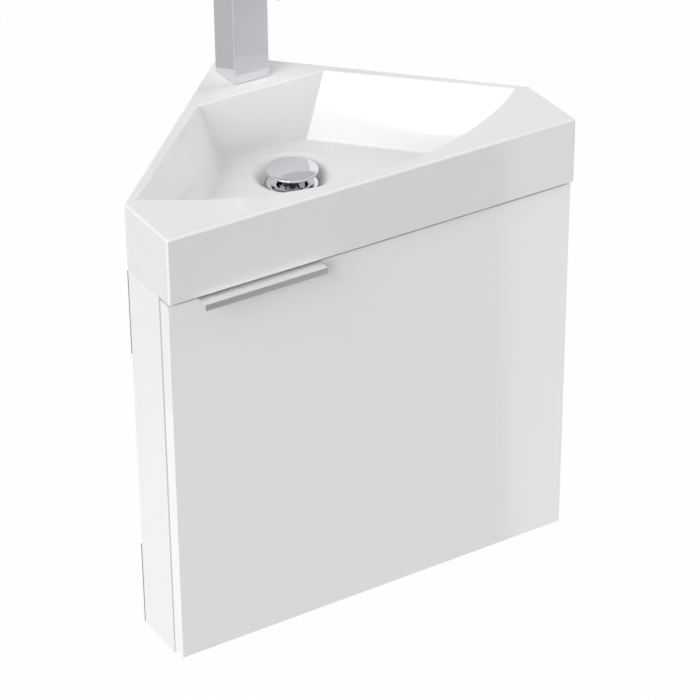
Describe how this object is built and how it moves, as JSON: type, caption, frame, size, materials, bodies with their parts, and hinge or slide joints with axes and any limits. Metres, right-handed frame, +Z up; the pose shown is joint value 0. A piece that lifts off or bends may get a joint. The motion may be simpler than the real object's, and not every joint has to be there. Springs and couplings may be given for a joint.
{
  "type": "corner vanity unit",
  "caption": "Wall-hung corner vanity: a five-sided ceramic basin with a lever tap and push-open waste, on a low cabinet with a hinged door and an edge handle.",
  "frame": {"origin": "on the line where the two room walls meet, level with the underside of the cabinet", "axes": "+Z up along the corner of the room, -Y out of the corner towards the user and square to the door, +X to the user's right along the door"},
  "size_m": [0.55, 0.3895, 0.7784],
  "materials": {
    "ware": "white gloss glaze",
    "lacquer": "white gloss lacquer on fibreboard",
    "board": "white melamine on particle board",
    "chrome": "polished",
    "handle": "satin anodised",
    "steel": "zinc plated",
    "plate": "dark grey",
    "brass": "plain",
    "rubber": "matt",
    "foam": "closed-cell foam",
    "plastic": "moulded",
    "beech": "plain beech"
  },
  "bodies": {
    "cabinet": {"basin": "ware", "basin_foam": "foam", "waste_flange": "chrome", "waste_top_seal": "rubber", "waste_under_seal": "rubber", "waste_nut": "brass", "waste_spider": "chrome", "waste_latch": "plastic", "tap_body": "chrome", "tap_base_seal": "rubber", "tap_stud": "steel", "tap_clamp": "steel", "tap_nut": "brass", "tap_aerator": "plastic", "tap_cartridge": "plastic", "tap_cartridge_ring": "brass", "side_left": "board", "side_right": "board", "bottom_board": "board", "front_rail": "board", "upper_rail_left": "board", "upper_rail_right": "board", "lower_rail_left": "board", "lower_rail_right": "board", "dowels": "beech", "cam_discs": "steel", "cam_bolts": "steel", "upper_plate_left": "plate", "upper_plate_right": "plate", "lower_plate_left": "plate", "lower_plate_right": "plate", "wall_plate_screws": "steel", "hinge_arm_low": "steel", "hinge_arm_high": "steel", "hinge_plate_low": "steel", "hinge_plate_high": "steel", "hinge_plate_screws": "steel", "hinge_arm_screws": "steel"},
    "door": {"door_panel": "lacquer", "door_handle": "handle", "handle_screws": "steel", "door_buffers": "plastic", "hinge_cup_low": "steel", "hinge_cup_high": "steel", "hinge_pin_low": "steel", "hinge_pin_high": "steel", "hinge_cup_screws": "steel"},
    "waste_cap": {"waste_cap": "chrome", "waste_cap_seal": "rubber", "waste_stem": "chrome"},
    "tap_swivel": {"tap_rotor": "plastic", "tap_rotor_pin": "steel"},
    "tap_lever": {"tap_spindle": "steel", "tap_lever": "chrome", "tap_lever_screw": "steel"}
  },
  "joints": [
    {"name": "door_swing", "type": "hinge", "parent": "cabinet", "child": "door", "pos_m": [0.2649, -0.36212, 0.25], "axis": [0, 0, 1], "range_deg": [0, 95]},
    {"name": "cap_travel", "type": "slide", "parent": "cabinet", "child": "waste_cap", "axis": [0, 0, 1], "range_m": [-0.013, 0]},
    {"name": "tap_turn", "type": "hinge", "parent": "cabinet", "child": "tap_swivel", "pos_m": [0, -0.06362, 0.7564], "axis": [0, 0, 1], "range_deg": [-45, 45]},
    {"name": "lever_lift", "type": "hinge", "parent": "tap_swivel", "child": "tap_lever", "pos_m": [0, -0.06362, 0.7564], "axis": [-1, 0, 0], "range_deg": [0, 20]}
  ]
}
